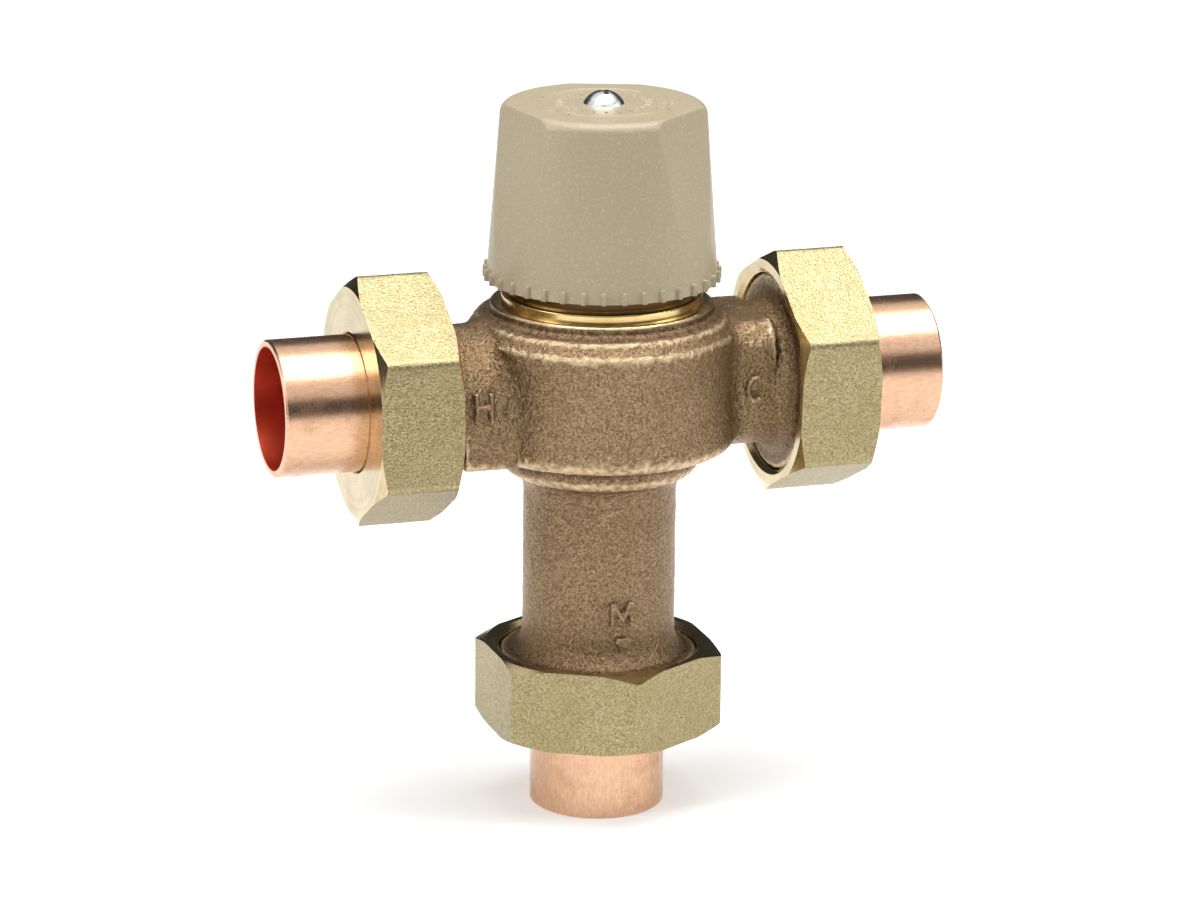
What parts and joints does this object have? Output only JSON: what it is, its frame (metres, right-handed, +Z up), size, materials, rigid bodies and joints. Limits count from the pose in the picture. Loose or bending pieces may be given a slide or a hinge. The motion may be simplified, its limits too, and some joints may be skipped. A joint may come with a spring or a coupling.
{
  "type": "thermostatic mixing valve",
  "caption": "Bronze hot and cold water mixing valve with a fluted plastic adjusting knob and union nuts with copper solder tails on its ports.",
  "frame": {"origin": "middle of the mixed outlet's mouth, at the lower end of the outlet tail", "axes": "+Z up along the outlet and the knob's axis, +X from the hot inlet to the cold inlet, -Y the front with the port letters"},
  "size_m": [0.1248, 0.0496, 0.1348],
  "materials": {
    "cast_bronze": "sand-cast, rough, warm brown",
    "forged_brass": "forged and blasted, faces turned bright",
    "turned_brass": "turned, bright",
    "copper": "drawn copper, satin, polished on the outside",
    "knob_plastic": "moulded, fine matt grain, warm grey",
    "plated_screw": "bright zinc plate",
    "seal_rubber": "moulded rubber",
    "fibre_washer": "sheet gasket",
    "spring_steel": "drawn stainless wire and turned stainless",
    "screen_steel": "stainless wire cloth",
    "white_acetal": "moulded acetal, natural white",
    "dark_acetal": "moulded acetal, black"
  },
  "bodies": {
    "root": {"bonnet": "turned_brass", "bonnet_seal": "seal_rubber", "cold_check_body": "white_acetal", "cold_check_guide": "white_acetal", "cold_check_seal": "seal_rubber", "cold_check_spring": "spring_steel", "cold_screen": "screen_steel", "cold_tailpiece": "copper", "cold_union_nut": "forged_brass", "cold_washer": "fibre_washer", "hot_check_body": "white_acetal", "hot_check_guide": "white_acetal", "hot_check_seal": "seal_rubber", "hot_check_spring": "spring_steel", "hot_screen": "screen_steel", "hot_seat": "turned_brass", "hot_tailpiece": "copper", "hot_union_nut": "forged_brass", "hot_washer": "fibre_washer", "mixed_tailpiece": "copper", "mixed_union_nut": "forged_brass", "mixed_washer": "fibre_washer", "return_spring": "spring_steel", "valve_body": "cast_bronze"},
    "spring_cup": {"spring_cup": "turned_brass", "overtravel_spring": "spring_steel", "push_disc": "spring_steel", "retaining_clip": "spring_steel", "element_piston": "spring_steel"},
    "knob": {"knob": "knob_plastic", "knob_screw": "plated_screw", "adjusting_stem": "turned_brass", "stem_seal": "seal_rubber"},
    "shuttle": {"shuttle": "turned_brass", "shuttle_seal": "seal_rubber", "wax_element": "copper"},
    "hot_poppet": {"hot_check_poppet": "dark_acetal", "hot_poppet_seal": "seal_rubber"},
    "cold_poppet": {"cold_check_poppet": "dark_acetal", "cold_poppet_seal": "seal_rubber"}
  },
  "joints": [
    {"name": "stem_rise", "type": "slide", "parent": "root", "child": "spring_cup", "axis": [0, 0, 1], "range_m": [-0.00075, 0.00075]},
    {"name": "knob_turn", "type": "hinge", "parent": "spring_cup", "child": "knob", "pos_m": [0, 0, 0.08], "axis": [0, 0, 1], "range_deg": [-180, 180]},
    {"name": "shuttle_travel", "type": "slide", "parent": "spring_cup", "child": "shuttle", "axis": [0, 0, 1], "range_m": [-0.00075, 0.00075], "stiffness_N_per_m": 5000, "deforming": ["return_spring"]},
    {"name": "hot_check_travel", "type": "slide", "parent": "root", "child": "hot_poppet", "axis": [1, 0, 0], "range_m": [0, 0.0024], "stiffness_N_per_m": 150, "springref_m": -0.002, "deforming": ["hot_check_spring"]},
    {"name": "cold_check_travel", "type": "slide", "parent": "root", "child": "cold_poppet", "axis": [-1, 0, 0], "range_m": [0, 0.0024], "stiffness_N_per_m": 150, "springref_m": -0.002, "deforming": ["cold_check_spring"]}
  ],
  "couplings": [
    {"joint": "knob_turn", "follows": "stem_rise", "rad_per_m": 4188.8}
  ]
}
